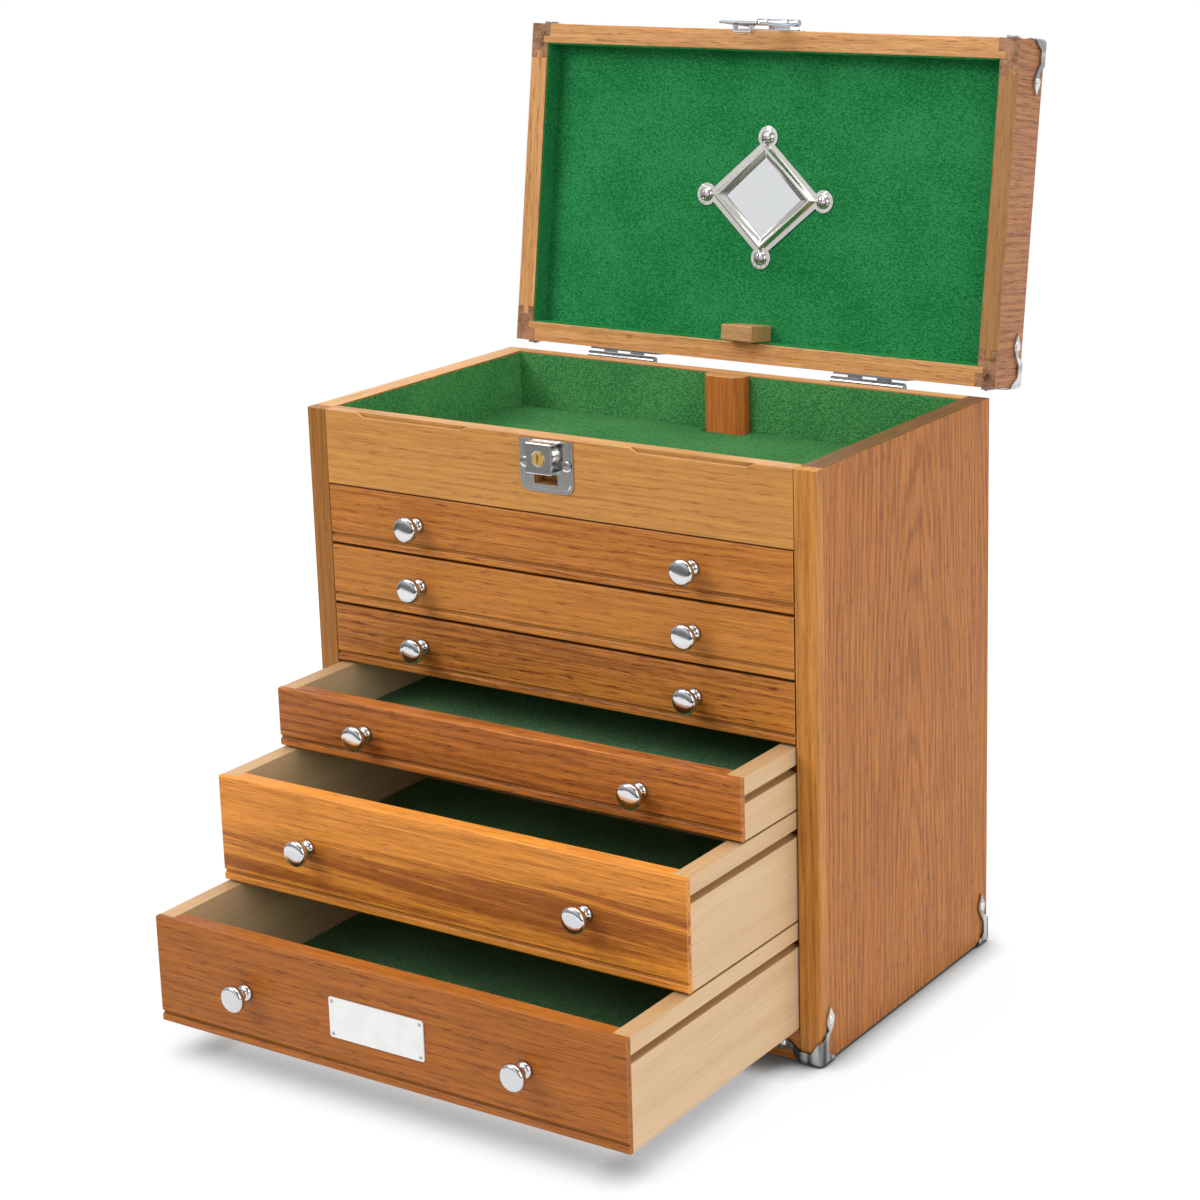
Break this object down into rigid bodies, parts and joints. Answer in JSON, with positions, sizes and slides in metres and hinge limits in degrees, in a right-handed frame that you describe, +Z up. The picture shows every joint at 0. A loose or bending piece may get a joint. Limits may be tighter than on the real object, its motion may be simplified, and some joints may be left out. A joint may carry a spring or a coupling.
{
  "type": "top tool chest",
  "caption": "Wooden top tool chest with a felt-lined till under a hinged mirror lid, sliding drawers, metal corners, a key lock with a hasp and a carrying handle.",
  "frame": {"origin": "middle of the case's underside, on the surface it stands on", "axes": "+Z up, -Y out of the drawer fronts, +X to the right seen from the front"},
  "size_m": [0.4064, 0.5309, 0.64],
  "materials": {
    "oak_case": "oiled oak with a reddish stain",
    "oak_front": "honey-stained oak",
    "maple": "pale unstained hardwood",
    "end_grain": "stained end grain",
    "hidden_wood": "plain sealed wood",
    "felt_green": "bright green felt",
    "felt_dark": "dark green felt",
    "chrome": "polished chrome",
    "nickel": "satin nickel",
    "steel": "plain steel",
    "brass": "brass",
    "mirror": "mirror glass",
    "leather": "dark leather"
  },
  "bodies": {
    "case": {"case_side_left": "oak_case", "case_side_right": "oak_case", "front_stiles": "oak_front", "case_back": "oak_case", "case_bottom": "hidden_wood", "base_rail": "oak_front", "till_front": "oak_front", "till_floor": "hidden_wood", "till_lining": "felt_green", "drawer_runners": "oak_case", "case_corners": "chrome", "case_fasteners": "chrome", "hinge_case_leaves": "chrome", "lock_plate": "chrome", "lock_housing": "chrome", "lock_bar_guide": "hidden_wood"},
    "lock_bar": {"lock_bar": "oak_front", "lock_catches": "steel", "lock_spring": "steel"},
    "lock_plug": {"lock_plug": "brass"},
    "lid": {"lid_front_rail": "oak_front", "lid_rear_rail": "oak_front", "lid_sides": "oak_front", "lid_corner_posts": "end_grain", "lid_top": "oak_case", "lid_lining": "felt_green", "mirror_frame": "nickel", "mirror_glass": "mirror", "lid_fasteners": "chrome", "lock_block": "maple", "lid_corners": "chrome", "hinge_lid_leaves": "chrome", "hasp_base": "chrome", "handle_mounts": "chrome"},
    "hasp": {"hasp": "chrome"},
    "handle": {"handle_grip": "leather"},
    "drawer_1": {"drawer_1_front": "oak_front", "drawer_1_box": "maple", "drawer_1_felt": "felt_dark", "drawer_1_knobs": "chrome"},
    "drawer_2": {"drawer_2_front": "oak_front", "drawer_2_box": "maple", "drawer_2_felt": "felt_dark", "drawer_2_knobs": "chrome"},
    "drawer_3": {"drawer_3_front": "oak_front", "drawer_3_box": "maple", "drawer_3_felt": "felt_dark", "drawer_3_knobs": "chrome"},
    "drawer_4": {"drawer_4_front": "oak_front", "drawer_4_box": "maple", "drawer_4_felt": "felt_dark", "drawer_4_knobs": "chrome"},
    "drawer_5": {"drawer_5_front": "oak_front", "drawer_5_box": "maple", "drawer_5_felt": "felt_dark", "drawer_5_knobs": "chrome"},
    "drawer_6": {"drawer_6_front": "oak_front", "drawer_6_box": "maple", "drawer_6_felt": "felt_dark", "drawer_6_knobs": "chrome"}
  },
  "joints": [
    {"name": "lid_hinge", "type": "hinge", "parent": "case", "child": "lid", "pos_m": [0, 0.1235, 0.393], "axis": [1, 0, 0], "range_deg": [0, 98.7]},
    {"name": "lock_bar_slide", "type": "slide", "parent": "case", "child": "lock_bar", "axis": [0, 0, -1], "range_m": [0, 0.01301], "deforming": ["lock_spring"]},
    {"name": "lock_plug_turn", "type": "hinge", "parent": "case", "child": "lock_plug", "pos_m": [0, -0.1225, 0.38145], "axis": [0, 1, 0], "range_deg": [0, 90]},
    {"name": "hasp_swing", "type": "hinge", "parent": "lid", "child": "hasp", "pos_m": [0, 0.18171, 0.63458], "axis": [-1, 0, 0], "range_deg": [0, 110]},
    {"name": "handle_swing", "type": "hinge", "parent": "lid", "child": "handle", "pos_m": [0, 0.18864, 0.50797], "axis": [1, 0, 0], "range_deg": [-8.7, 171.3]},
    {"name": "drawer_1_slide", "type": "slide", "parent": "case", "child": "drawer_1", "axis": [0, -1, 0], "range_m": [0, 0.198]},
    {"name": "drawer_2_slide", "type": "slide", "parent": "case", "child": "drawer_2", "axis": [0, -1, 0], "range_m": [0, 0.198]},
    {"name": "drawer_3_slide", "type": "slide", "parent": "case", "child": "drawer_3", "axis": [0, -1, 0], "range_m": [0, 0.198]},
    {"name": "drawer_4_slide", "type": "slide", "parent": "case", "child": "drawer_4", "axis": [0, -1, 0], "range_m": [-0.065, 0.133]},
    {"name": "drawer_5_slide", "type": "slide", "parent": "case", "child": "drawer_5", "axis": [0, -1, 0], "range_m": [-0.128, 0.07]},
    {"name": "drawer_6_slide", "type": "slide", "parent": "case", "child": "drawer_6", "axis": [0, -1, 0], "range_m": [-0.195, 0.003]}
  ],
  "couplings": [
    {"joint": "lock_bar_slide", "follows": "lid_hinge", "m_per_rad": 0.0075466}
  ]
}
